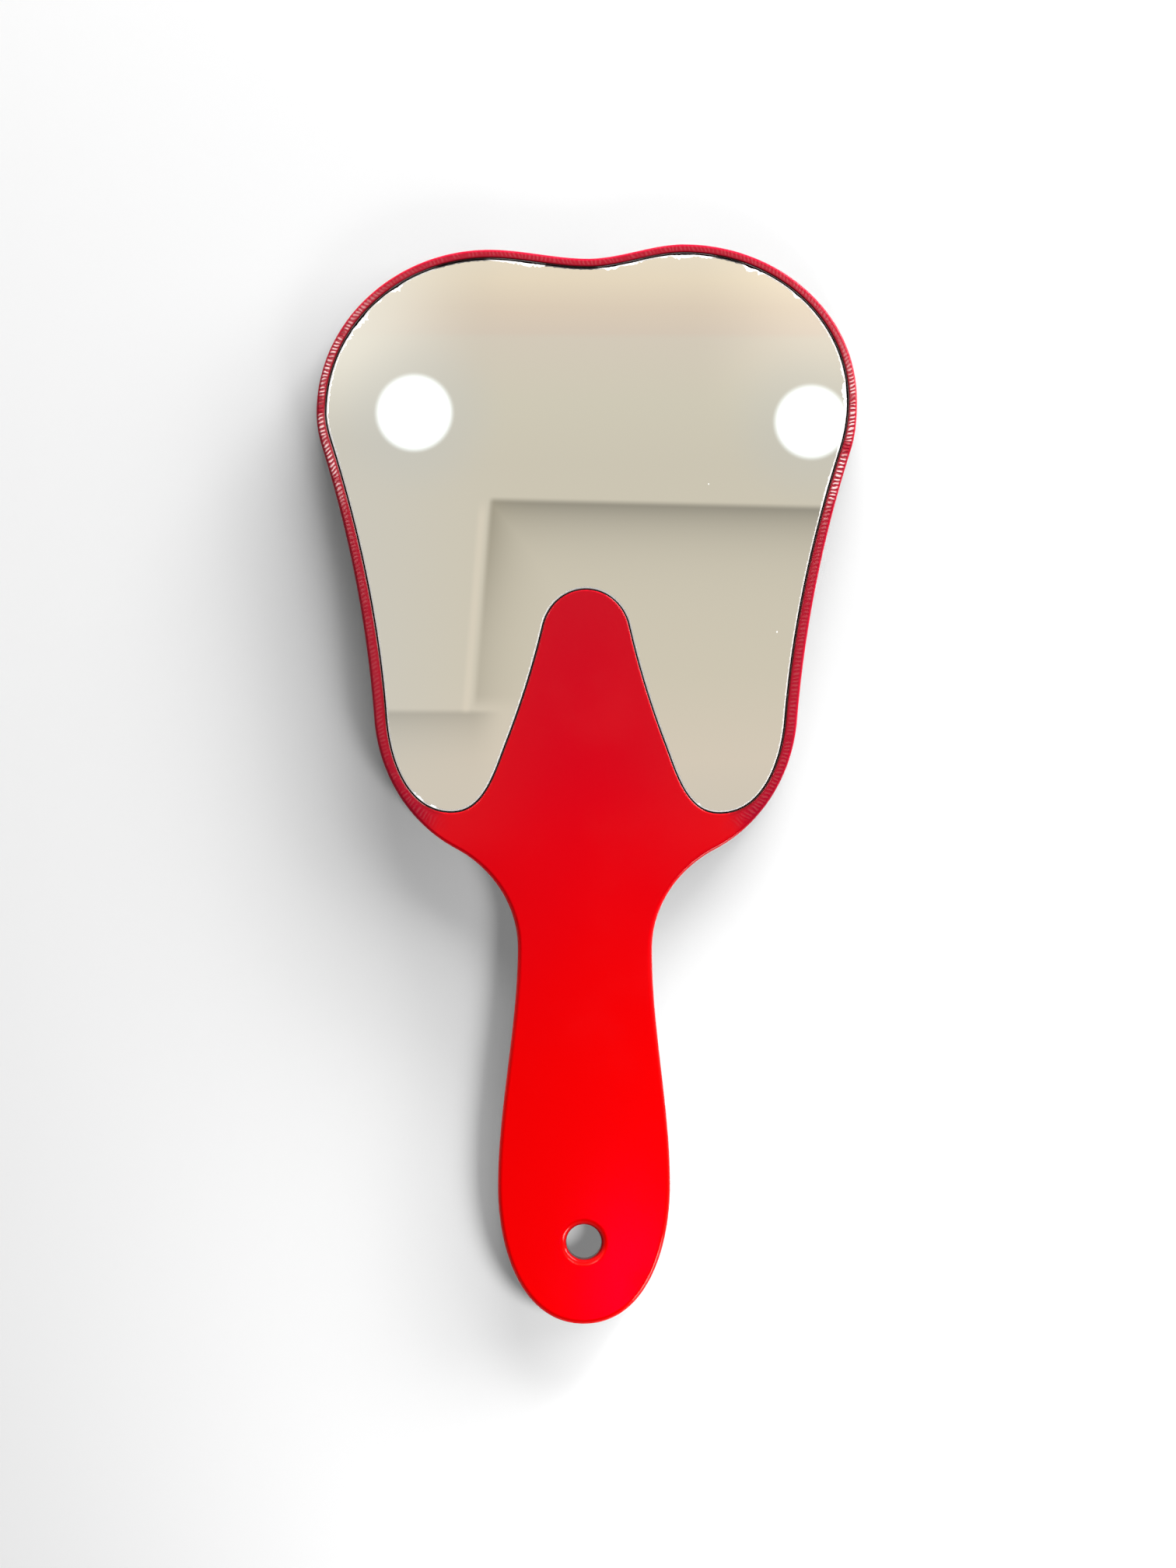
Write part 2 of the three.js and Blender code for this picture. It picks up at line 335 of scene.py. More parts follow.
# The moulding: the outer wall is a quarter turn, a lean to mid height and a quarter turn back,
# carried round the outer edge; the pocket's wall and the hole's are carried round theirs, and
# flat caps join them. Its roundings shrink smoothly from the handle to the head.
def buildFrame():
    f = frameSize
    shell = Shell()
    outer, mouth = bodyLoop(), pocketLoop()
    landing, middle = f["landing"], bodyTop / 2
    share = np.clip((outer[:, 1] - f["headFrom"]) / (f["headTo"] - f["headFrom"]), 0, 1)
    r = f["handleRounding"] + (f["headRounding"] - f["handleRounding"]) * share**2 * (3 - 2 * share)
    lean, climb = cornerArc((1, 0), 1, 180, 90, f["arcSteps"]).T[..., None]
    leans, climbs = f["draft"] + r * lean, r * (1 - climb)
    insets = np.vstack([leans[-1:] + landing, leans[::-1], 0 * leans[:1], leans, leans[-1:] + landing])
    heights = np.vstack([
        climbs[-1:], climbs[::-1], 0 * climbs[:1] + middle, bodyTop - climbs, bodyTop - climbs[-1:],
    ])
    body = shell.sweep(outer, insets, heights)
    r = f["mouthRounding"]
    lip = cornerArc((-r, bodyTop - r), r, 90, 0, f["arcSteps"])
    fillet = cornerArc((f["floorFillet"], pocketFloor + f["floorFillet"]), f["floorFillet"], 180, 270, 3)
    profile = np.vstack([[lip[0] - [landing, 0]], lip, fillet, [fillet[-1] + [landing, 0]]])
    well = shell.sweep(mouth, profile[:, 0], profile[:, 1])
    turn = np.linspace(0, 2 * np.pi, 96, endpoint=False)
    circle = f["holeRadius"] * np.stack([np.cos(turn), np.sin(turn)], 1)
    circle[:, 1] += handleEnd + f["holeRise"]
    r = f["holeRounding"]
    upper = cornerArc((-r, bodyTop - r), r, 90, 0, f["arcSteps"])
    lower = cornerArc((-r, r), r, 0, -90, f["arcSteps"])
    profile = np.vstack([
        [upper[0] - [landing, 0]], upper, lower, [lower[-1] - [landing, 0]],
    ])
    hole = shell.sweep(circle, profile[:, 0], profile[:, 1])
    grid = gridPoints(bodyLow, bodyHigh, f["fillerSpacing"])
    shell.cap([body[-1], well[0], hole[0]], grid)
    shell.cap([body[0], hole[-1]], grid)
    shell.cap([well[-1]], grid)
    every = shell.points()
    sink = handleFall(every) * np.clip(every[:, 2] / middle - 1, 0, 1)
    shell.blocks = [every - np.column_stack([np.zeros((len(every), 2)), sink])]
    piece = shell.object("handle_frame_moulding")
    markRim(piece, every, outer, mouth)
    fromHole = np.hypot(every[:, 0], every[:, 1] - handleEnd - f["holeRise"])
    addAttribute(piece, "bore", 1 - np.clip((fromHole - f["holeRadius"]) / r * 2, 0, 1))
    return piece


# How far along the outline each point of the rim is, how far across it, and whether it is
# rim at all: rim is where the outer edge and the pocket are close together. The lip is what
# faces the pane, from just outside the pocket's edge inwards.
def markRim(piece, every, outer, mouth):
    f = frameSize
    fromOuter = distances(every[:, :2], outer)
    fromMouth = distances(every[:, :2], mouth).min(1)
    place = fromOuter.argmin(1)
    across = fromOuter.min(1)
    width = across + fromMouth
    addAttribute(piece, "along", place * outline["step"])
    addAttribute(piece, "across", across / np.maximum(width, 0.01))
    addAttribute(piece, "rim", 1 - np.clip((width - f["rimWidth"]) / f["rimFade"], 0, 1))
    outside = np.clip((fromMouth - f["lipWidth"]) / f["lipFade"], 0, 1)
    lip = np.where(inside(every[:, :2], mouth), 1, 1 - outside)
    addAttribute(piece, "lip", np.where(every[:, 2] > f["backSkin"], lip, 0))


# The flat pane: its back arris, its wall, then a ground front arris that chips widen.
paneSize = {
    "gap": 0.3,  # to the pocket's wall
    "backArris": 0.3,
    "frontArris": 0.26,
    "seat": 0.15,  # a narrow flat ring inside the back arris
    "frostEdge": 0.04,  # the step from ground edge to polished face
    "clearReach": 1.5,  # how softly a polished stretch of the arris begins and ends
    "clearDepth": 12,  # polished stretches lie within this of the crown's top
    "clearStretches": [(-4, 6.5), (-29, 6), (32.5, 3)],  # x and half length, along the crown
    "chips": [  # x, y, how far it bites in, and its width
        (5.6, 119.5, 0.55, 1.5), (10.5, 120, 0.3, 2.5), (22, 122.6, 0.7, 2.2), (27, 122.4, 0.3, 2),
        (37.6, 119.5, 0.75, 1.3), (39.8, 118.4, 0.5, 0.9), (48.5, 113.4, 0.5, 0.9),
        (60, 96, 0.3, 1.2), (60.8, 91, 0.6, 2.2), (-44.4, 115, 0.6, 1.4), (-52.4, 107, 0.8, 2.2),
        (-55, 103.6, 0.45, 1), (-13, 120.5, 0.3, 3), (-39, -3.5, 0.3, 1.6), (-35.6, -6.3, 0.35, 1.2),
        (25.6, -5.4, 0.3, 0.9), (-59, 90, 0.16, 6), (-60, 78, 0.08, 5), (60.2, 84, 0.3, 7),
        (59, 68, 0.15, 6), (-16, 121, 0.25, 5), (-56, 101, 0.3, 1), (61, 94, 0.5, 0.8),
        (-61, 72, 0.25, 0.7), (18, 121.8, 0.3, 0.8), (-48, 111.5, 0.3, 0.7), (54, 106, 0.3, 0.8),
    ],
    "wholeChip": 0.25,  # chipped this deep, the edge is as bright as it gets
    "nicks": 0.05,  # the ground edge's own unevenness
}
coating = {
    "margin": 0.5,  # short of the pane's edge
    "corner": 0.15,
}
pads = {
    "names": ["crown_pad_left", "crown_pad_right", "root_pad_left", "root_pad_right"],
    "squeeze": 0.12,  # how far the sides bow out
}


# How deep the chips bite at each point: a bell round each chip's place, made ragged by a few
# waves along the edge that don't repeat together.
def chipDepth(loop):
    run = np.arange(len(loop)) * outline["step"]
    ragged = 1 + 0.45 * np.sin(run * 4.1) * np.sin(run * 2.3 + 1) + 0.3 * np.sin(run * 7.7)
    depth = np.zeros(len(loop))
    for x, y, reach, width in paneSize["chips"]:
        away = np.hypot(loop[:, 0] - x, loop[:, 1] - y)
        depth += reach * np.exp(-((away / width) ** 4))
    return depth * np.clip(ragged, 0.25, 2)


# The pane's side is carried round the pocket's edge, moved in by the gap: up the back arris and
# the wall, then in over the front arris, whose width is its own, the chips' and the nicks'.
def buildPane():
    p = paneSize
    shell = Shell()
    whole = pocketLoop()
    loop = whole + p["gap"] * inwardNormals(whole)
    chip = chipDepth(loop)
    run = np.arange(len(loop)) * outline["step"]
    nick = p["nicks"] * (np.sin(run * 3.1) + np.sin(run * 5.3 + 2))
    low, high, back, front = paneLow[2], paneHigh[2], p["backArris"], p["frontArris"]
    edge = front + chip + nick
    zero = np.zeros(len(loop))
    insets = np.stack([
        zero + back + p["seat"], zero + back, zero, 0.1 * chip, 0.45 * edge, edge, edge + p["frostEdge"],
    ])
    heights = np.stack([
        zero + low, zero + low, zero + low + back, high - front - chip, high - 0.42 * edge,
        zero + high, zero + high,
    ])
    rings = shell.sweep(loop, insets, heights)
    shell.cap([rings[-1]])
    shell.cap([rings[0]])
    piece = shell.object("mirror_pane_glass")
    clear = zero.copy()
    for x, half in p["clearStretches"]:
        clear += np.clip((half - abs(loop[:, 0] - x)) / p["clearReach"] + 0.5, 0, 1)
    clear = np.where(loop[:, 1] > crownTop - p["clearDepth"], np.clip(clear, 0, 1), 0)
    clear = clear * (chip < 0.1)
    ground = np.stack([zero, zero, zero + 0.3, 1 - clear, 1 - clear, 1 - clear, zero])
    darkened = np.stack([zero, zero, clear, clear, clear, clear, zero])
    addAttribute(piece, "ground", ground.ravel())
    addAttribute(piece, "bare", darkened.ravel())
    addAttribute(piece, "chipped", np.tile(np.clip(chip / p["wholeChip"], 0, 1), len(insets)))
    return piece


# A thin coat behind the pane, between two heights.
def buildCoat(name, low, high):
    shell = Shell()
    whole = pocketLoop()
    loop = whole + (paneSize["gap"] + coating["margin"]) * inwardNormals(whole)
    corner = coating["corner"]
    rings = shell.sweep(loop, np.array([corner, 0, 0, corner]), np.array([low, low, high, high]))
    shell.cap([rings[-1]])
    shell.cap([rings[0]])
    return shell.object(name)


# A foam pad: a rounded rectangle (a superellipse of the sixth power) whose squeezed sides
# bow out between its two glued faces.
def buildPad(node):
    low, high = (np.array(corner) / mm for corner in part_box(node))
    middle, half = (low + high) / 2, (high - low) / 2
    turn = np.linspace(0, 2 * np.pi, 160, endpoint=False)
    round_ = np.stack([np.cos(turn), np.sin(turn)], 1)
    loop = middle[:2] + half[:2] * np.sign(round_) * abs(round_) ** (1 / 3)
    bow = np.array([0.3, 0, -0.6, -1, -0.6, 0, 0.3]) * pads["squeeze"]
    heights = low[2] + (high[2] - low[2]) * np.array([0, 0, 0.2, 0.5, 0.8, 1, 1])
    shell = Shell()
    rings = shell.sweep(loop, bow, heights)
    shell.cap([rings[-1]])
    shell.cap([rings[0]])
    return shell.object(node + "_foam")


made = {}


# Puts a piece into the frame in place of a node of the drawing.
def place(piece, node, slot):
    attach(piece, "root")
    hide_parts(node)
    made[node] = piece


place(buildFrame(), "handle_frame", "red_plastic")
made["handle_frame"].visible_diffuse = False  # so that it throws no red onto the floor
place(buildPane(), "mirror_pane", "mirror_glass")
place(buildCoat("silver_film_coat", silverLow[2], silverHigh[2]), "silver_film", "silver")
place(buildCoat("backing_paint_coat", paintLow[2], paintHigh[2]), "backing_paint", "backing_paint")
for padName in pads["names"]:
    place(buildPad(padName), padName, "foam_tape")


# A node's output, so that sums on it are written as ordinary Python.
class Wire:
    def __init__(self, finish, socket):
        self.finish = finish
        self.socket = socket

    def math(self, operation, *others):
        return self.finish.node("ShaderNodeMath", {"operation": operation}, [self, *others])

    def __add__(self, other):
        return self.math("ADD", other)

    def __sub__(self, other):
        return self.math("SUBTRACT", other)

    def __rsub__(self, other):
        return self.finish.node("ShaderNodeMath", {"operation": "SUBTRACT"}, [other, self])

    def __mul__(self, other):
        return self.math("MULTIPLY", other)

    def __truediv__(self, other):
        return self.math("DIVIDE", other)

    def __neg__(self):
        return 0 - self

    __radd__ = __add__
    __rmul__ = __mul__

    def larger(self, other):
        return self.math("MAXIMUM", other)

    def size(self):
        return self.math("ABSOLUTE")

    # 0 below one value, 1 above the other, and a smooth rise between.
    def rise(self, low, high):
        return self.finish.node("ShaderNodeMapRange", {"interpolation_type": "SMOOTHSTEP"},
                                {"Value": self, "From Min": low, "From Max": high})


# One material: a Principled shader, what is linked into it, and the nodes before it.
class Finish:
    def __init__(self, name, **uniform):
        self.material = bpy.data.materials.new(name)
        self.material.use_nodes = True
        self.tree = self.material.node_tree
        self.shader = self.tree.nodes["Principled BSDF"]
        for socket, value in uniform.items():
            self.shader.inputs[socket.replace("_", " ")].default_value = value
        self.place = self.node("ShaderNodeTexCoord", {"output": "Object"})

    # Makes a node: its settings first, then the values or links of its sockets.
    def node(self, kind, settings=None, inputs=()):
        new = self.tree.nodes.new(kind)
        settings = dict(settings or {})
        output = settings.pop("output", 0)
        for key, value in settings.items():
            setattr(new, key, value)
        pairs = inputs.items() if isinstance(inputs, dict) else enumerate(inputs)
        for key, value in pairs:
            if isinstance(value, Wire):
                self.tree.links.new(value.socket, new.inputs[key])
            else:
                new.inputs[key].default_value = value
        return Wire(self, new.outputs[output])

    # The number stored on the mesh under a name.
    def attribute(self, name):
        return self.node("ShaderNodeAttribute", {"attribute_name": name, "output": "Fac"})

    # Cloudy noise from 0 to 1, so many clouds to a metre.
    def noise(self, scale, detail=2, vector=None):
        inputs = {"Vector": vector or self.place, "Scale": scale, "Detail": detail}
        return self.node("ShaderNodeTexNoise", {"output": "Fac"}, inputs)

    # Round spots, one to a cell, with soft edges; their size is a share of the cell.
    def spots(self, scale, size):
        cells = {"feature": "F1", "output": "Distance"}
        away = self.node("ShaderNodeTexVoronoi", cells, {"Vector": self.place, "Scale": scale})
        return 1 - away.rise(size * 0.6, size)

    # Where the surface is, across and up, as two separate wires.
    def acrossAndUp(self):
        parts = self.node("ShaderNodeSeparateXYZ", {"output": "X"}, [self.place])
        return [Wire(self, parts.socket.node.outputs[axis]) for axis in "XY"]

    # How far the surface is from a point.
    def distance(self, point):
        return self.node("ShaderNodeVectorMath", {"operation": "DISTANCE", "output": "Value"},
                         [self.place, point])

    # The first colour where the share is 0, the second where it is 1.
    def mix(self, share, first, second):
        return self.node("ShaderNodeMix", {"data_type": "RGBA", "output": 2},
                         {0: share, 6: first, 7: second})

    # Links wires to the shader's own inputs.
    def link(self, **sockets):
        for name, wire in sockets.items():
            self.tree.links.new(wire.socket, self.shader.inputs[name.replace("_", " ")])

    # Height in metres, turned into the shader's normal.
    def relief(self, height):
        bump = self.node("ShaderNodeBump", {}, {"Height": height, "Distance": 1.0, "Strength": 1.0})
        self.link(Normal=bump)

    # Gives the material to pieces as their only one.
    def wear(self, *pieces):
        for piece in pieces:
            piece.data.materials.clear()
            piece.data.materials.append(self.material)


plastic = {
    # Painted light: the red is darker at the tongue and brighter towards the handle's end, as if lit more
    # strongly there.
    "tongue": (0.54, 0.0008, 0.012, 1),
    "handle": (0.77, 0.0002, 0.0007, 1),
    "from": 0.06,  # y where the painted shade at the tongue gives way to the painted light at the handle's end
    "to": -0.07,
    "gloss": 0.11,  # roughness
    "rimSatin": 0.03,  # how much rougher the rim is
    "smudge": 0.05,
    # the rim's tone, pinker than the rest: a painted sheen for the satin rim's reflection
    "rim": (0.39, 0.003, 0.02, 1),
    "shaded": (0.2, 0.001, 0.003, 1),  # the rim's inner side, and the bore's wall
    "gapShade": (0.02, 0.0001, 0.0002, 1),  # the pocket's lip and wall, deep beside the pane
    "dome": 0.00017,  # how far the rim falls away towards the outside, in metres
    "crest": 0.75,  # where it is highest, as a share of its width
    "beadPitch": 0.95,  # of the rim's fine ribs, in millimetres along it
    "bead": 0.000016,  # height of those ribs, in metres
    "beadSlant": 4.5,  # radians the ribs turn by across the rim
    "beadSway": 8.0,  # and at most this much, by chance, along it
    "reliefElsewhere": 0.15,  # the ribs' height away from the painted glints
    "beadGlint": (1.0, 0.66, 0.66, 1),  # the beads' tips are rubbed pale,
    "glintLeft": (0.062, 0.075, 0.1, 0.116),  # painted highlights: the lamps' glints on the beads' tips, most between these y: where that starts, is full, begins to fade and has ended
    "glintRight": (0.058, 0.07, 0.088, 0.102),  # begins to fade and has ended
    "glintElsewhere": 0.04,
    "grain": 0.000006,
    "peel": 0.0000015,
    "scratch": 0.0000015,
}


# The moulding: fine ribs run slantwise over the rim's crest, elsewhere it is polished, with
# a faint orange peel, hairline scratches and finger smudges. Its colour holds painted light:
# darker at the tongue, brighter towards the handle's end, a pinker painted sheen on the rim,
# painted glints on the ribs' tips, and painted shade on the rim's inner side, in the bore and
# on the pocket's lip.
def redPlastic():
    p = plastic
    finish = Finish("red_plastic", IOR=1.5, Specular_IOR_Level=0.2)
    rim = finish.attribute("rim")
    along = finish.attribute("along")
    across = finish.attribute("across")
    x, y = finish.acrossAndUp()
    # painted light along y, made a little uneven by noise
    share = (y - p["from"]) / (p["to"] - p["from"])
    paintedLightRamp = (finish.noise(22, 3) - 0.5) * 0.25 + share
    colour = finish.mix(paintedLightRamp.rise(0.0, 1.0), p["tongue"], p["handle"])
    # painted sheen: the rim is pinker
    colour = finish.mix(rim, colour, p["rim"])
    sway = finish.noise(420, 2) * p["beadSway"]
    turns = along * (2 * math.pi / p["beadPitch"]) + across * p["beadSlant"] + sway
    wave = turns.math("SINE")
    crest = across.rise(0.15, 0.35) * (1 - across.rise(0.62, 0.85))
    # painted highlights: lamp glints on the ribs, mostly on the rim's upper left and right
    onLeft, onRight = (
        y.rise(start, full) * (1 - y.rise(fade, end)) * side.math("GREATER_THAN", 0.0)
        for side, (start, full, fade, end) in ((-x, p["glintLeft"]), (x, p["glintRight"]))
    )
    glintShare = (onLeft + onRight) * (1 - p["glintElsewhere"]) + p["glintElsewhere"]
    uneven = finish.noise(900, 2) * 1.6 - 0.8
    tips = (wave + uneven).rise(-0.1, 0.6) * crest * rim * glintShare * finish.noise(260, 1).rise(0.3, 0.48)
    colour = finish.mix(tips, colour, p["beadGlint"])
    inner = rim * across.rise(0.8, 0.95)
    colour = finish.mix(inner.larger(finish.attribute("bore")), colour, p["shaded"])
    finish.link(Base_Color=finish.mix(finish.attribute("lip"), colour, p["gapShade"]))
    smudges = finish.noise(60, 4).rise(0.5, 0.75)
    finish.link(Roughness=p["gloss"] + rim * p["rimSatin"] + smudges * p["smudge"])
    proud = glintShare * (1 - p["reliefElsewhere"]) + p["reliefElsewhere"]
    ribs = wave * proud * p["bead"] + finish.noise(1700, 2) * p["grain"]
    dome = (across - p["crest"]) * (across - p["crest"]) * p["dome"]
    peel = finish.noise(700, 1)
    scratchPlace = finish.node("ShaderNodeMapping", {}, {
        "Vector": finish.place, "Rotation": (0, 0, 0.5), "Scale": (1, 0.03, 1),
    })
    scratches = finish.noise(1500, 1, scratchPlace).rise(0.68, 0.74)
    finish.relief((ribs * crest - dome) * rim + peel * p["peel"] - scratches * p["scratch"])
    return finish


silvering = {
    "tint": (0.885, 0.88, 0.865, 1),
    "groundEdge": (0.8, 0.75, 0.7, 1),
    "chipped": (0.95, 0.95, 0.94, 1),
    # painted shade: a polished stretch of the edge is dark grey, as the shaded pocket behind it
    "bareEdgeShade": (0.16, 0.15, 0.15, 1),
    "dust": (0.9, 0.89, 0.85, 1),
    "polish": 0.005,
    "haze": 0.004,
    "groundRoughness": 0.5,
    "glow": (0.6, 0.6, 0.6, 1),  # light piped through the glass leaves at its ground edge,
    "plainPaintedGlow": 0.4,  # painted glow: the ground edge glows as if lit, brightest where chipped, by this share where it isn't chipped
    # the dust specks carry painted glow too
    "dustPaintedGlow": 0.6,
    "dustCells": 160,  # to a metre
    "dustSize": 0.035,
}


# The pane: silvered and flat inside its edge, ground round it with a painted glow there, and
# painted dark grey, as shade, where the edge was left polished, with specks of dust that glow too.
# Each share is a product of these masks.
def mirrorGlass():
    m = silvering
    finish = Finish("mirror_glass", IOR=1.5, Emission_Strength=1.0)
    ground = finish.attribute("ground")
    bare = finish.attribute("bare")
    dust = finish.spots(m["dustCells"], m["dustSize"]) * finish.noise(45, 0).rise(0.62, 0.66)
    chipped = finish.attribute("chipped")
    # painted shade on the polished stretches of the edge
    edge = finish.mix(bare, finish.mix(chipped, m["groundEdge"], m["chipped"]), m["bareEdgeShade"])
    dull = (ground + bare).rise(0.0, 1.0)
    colour = finish.mix(dull, m["tint"], edge)
    finish.link(
        Base_Color=finish.mix(dust, colour, m["dust"]),
        Metallic=(1 - dull) * (1 - dust),
    )
    # painted glow: the ground edge and the dust specks glow, though they are no lamp
    lit = ground * (1 - bare) * (chipped * (1 - m["plainPaintedGlow"]) + m["plainPaintedGlow"]) + dust * m["dustPaintedGlow"]
    finish.link(Emission_Color=finish.mix(lit, (0, 0, 0, 1), m["glow"]))
    haze = finish.noise(18, 3).rise(0.52, 0.8)
    finish.link(Roughness=m["polish"] + haze * m["haze"] + (dull + dust) * m["groundRoughness"])
    return finish


silverLook = {
    "thin": (0.8, 0.79, 0.77, 1),
    "thick": (0.9, 0.89, 0.87, 1),
    "clouds": 40,  # to a metre
    "gloss": 0.05,
    "haze": 0.06,
}
paintLook = {
    "thin": (0.09, 0.1, 0.11, 1),
    "thick": (0.14, 0.15, 0.155, 1),
    "clouds": 120,  # to a metre
    "roughness": 0.5,
    "uneven": 0.25,
    "grain": 0.00001,
}
foamLook = {
    "skin": (0.86, 0.84, 0.77, 1),
    "pore": (0.6, 0.58, 0.5, 1),
    "pores": 2200,  # to a metre
    "poreSize": 0.4,
    "poreDepth": 0.00006,
}


# The coat's colour and its gloss drift together between thin and thick.
def silverCoat():
    look = silverLook
    finish = Finish("silver", Metallic=1.0)
    cloud = finish.noise(look["clouds"], 4)
    finish.link(
        Base_Color=finish.mix(cloud, look["thin"], look["thick"]),
        Roughness=look["gloss"] + cloud * look["haze"],
    )
    return finish


# The same for the paint, with a grain of its own.
def backingPaint():
    look = paintLook
    finish = Finish("backing_paint")
    cloud = finish.noise(look["clouds"], 4)
    finish.link(
        Base_Color=finish.mix(cloud, look["thin"], look["thick"]),
        Roughness=look["roughness"] + cloud * look["uneven"],
    )
    finish.relief(finish.noise(900, 2) * look["grain"])
    return finish


# Open pores are round, darker and sunk into the skin.
def foamTape():
    look = foamLook
    finish = Finish("foam_tape")
    pores = finish.spots(look["pores"], look["poreSize"])
    finish.link(
        Base_Color=finish.mix(pores, look["skin"], look["pore"]),
        Roughness=0.95 - pores * 0.1,
    )
    finish.relief(pores * -look["poreDepth"])
    return finish


redPlastic().wear(made["handle_frame"])
mirrorGlass().wear(made["mirror_pane"])
silverCoat().wear(made["silver_film"])
backingPaint().wear(made["backing_paint"])
foamTape().wear(*[made[name] for name in pads["names"]])
print("materials made")

stage = {
    "floorHalf": 4.0,
    "cameraHeight": 0.88,
    "cameraAside": 0.0006,
    "cameraRoll": 0.0035,  # radians
    "ceilingHeight": 2.2,
    "ceilingHalf": 1.6,
    "lens": 86.8,
    "floorPale": (0.94, 0.94, 0.94, 1),  # the floor drifts between this and the next
    "floorDull": (0.92, 0.92, 0.92, 1),
    "worldHorizon": (0.6, 0.6, 0.6, 1),
    "worldZenith": (0.0, 0.0, 0.0, 1),
}


# A flat square at a height, for the stage only.
def stagePlane(name, half, height, finish):
    corners = [(-half, -half, height), (half, -half, height), (half, half, height), (-half, half, height)]
    mesh = bpy.data.meshes.new(name)
    mesh.from_pydata(corners, [], [(0, 1, 2, 3)])
    plane = bpy.data.objects.new(name, mesh)
    bpy.context.scene.collection.objects.link(plane)
    finish.wear(plane)
    return plane


# Matt, and very slightly cloudy.
def floorFinish():
    finish = Finish("floor", Roughness=0.8, Specular_IOR_Level=0.1)
    finish.link(Base_Color=finish.mix(finish.noise(3), stage["floorDull"], stage["floorPale"]))
    return finish


# What the pane mirrors: a plastered ceiling with a stepped soffit and two round lamps.
# Places are in metres on it, colours are of its glow.
soffit = {
    "bands": [  # from the handle's side towards the crown's: y and the colour there
        (-0.1, (0.01, 0.01, 0.01, 1)), (-0.035, (0.7, 0.64, 0.54, 1)), (0.02, (0.745, 0.665, 0.548, 1)),
        (0.09, (0.7, 0.645, 0.522, 1)), (0.26, (0.682, 0.637, 0.522, 1)), (0.31, (0.705, 0.663, 0.542, 1)),
        (0.362, (0.74, 0.67, 0.56, 1)), (0.366, (0.75, 0.65, 0.54, 1)), (0.387, (0.8, 0.686, 0.547, 1)),
        (0.41, (0.89, 0.775, 0.6, 1)), (0.44, (0.92, 0.83, 0.67, 1)),
    ],
    "side": (0.69, 0.664, 0.588, 1),  # greyer, to the left,
    "sideShare": 0.85,  # by this much at most
    "sideUp": (-0.05, 0.05),  # and only above these y
    "sideFrom": -0.05,
    "sideTo": -0.2,
    "edgeX": -0.0995,  # the recess's upright step, and how it leans
    "edgeXSlope": 0.077,
    "edgeY": 0.232,  # and its level one
    "edgeYSlope": -0.02,
    "armEnd": 0.0615,  # y where the recess's arm ends
    "sharp": 0.006,
    "shade": 0.62,  # how dark the recess is right at its step
    "fade": 0.022,
    "uprightShade": 0.4,  # how much of that the upright step has low down,
    "uprightMore": 0.5,  # and how much more it gains between these y
    "uprightUp": (0.1, 0.24),
    "armShade": 0.55,  # and how much of it the arm's end has
    "warmShade": (0.5, 0.43, 0.28, 1),  # a warm tint of the painted shade beside the recess's upright step
    "warmShadeShare": 0.3,
    "line": (0.86, 0.77, 0.63, 1),  # and the lit edge on that step
    "lineShare": 0.4,
    "sheenUp": (0.27, 0.36),  # the ceiling brightens between these y,
    "sheenAside": (0.08, 0.2),  # and between these distances to each side,
    "sheen": (0.36, 0.24),  # by these shares, on the left and on the right
    "dark": (0.0, 0.0, 0.0, 1),  # the viewer overhead, where the tongue and the handle mirror it
    "darkTip": 0.122,
    "darkTipRadius": 0.0345,
    "darkFlare": 0.308,
    "darkMargin": 0.004,
    "lamps": [(-0.1415, 0.3009, 0.0297), (0.1809, 0.2946, 0.0286)],
    "lampGlow": (1.5, 1.6, 1.6, 1),
    "lampRim": 0.004,
    "panels": [(-0.47, 0.17, 14), (0.47, 0.17, 12)],  # only the rim mirrors them: x, half width, glow
    "panelFrom": 0.26,  # and their y
    "panelTo": 0.5,
    "panelSoft": 0.03,
    "violet": (0.07, -0.41, 0.01, 0.1),  # the handle's end mirrors this: x, y, inner and outer radius
    "violetGlow": (0.3, 0.0, 2.2, 1),
    "halo": 0.05,  # how far the duller ring round each lamp reaches
    "haloShare": 0.3,
    "haloTint": (0.6, 0.62, 0.6, 1),
}


# A colour that blends along a value through its stops.
def blend(finish, along, stops):
    colour = stops[0][1]
    for (low, _), (high, after) in zip(stops[:-1], stops[1:]):
        share = finish.node("ShaderNodeMapRange", {}, {"Value": along, "From Min": low, "From Max": high})
        colour = finish.mix(share, colour, after)
    return colour


# The shade beside a step: full at it, and falling away exponentially.
def shadeBeside(step):
    return (-step.larger(0.0) / soffit["fade"]).math("EXPONENT")


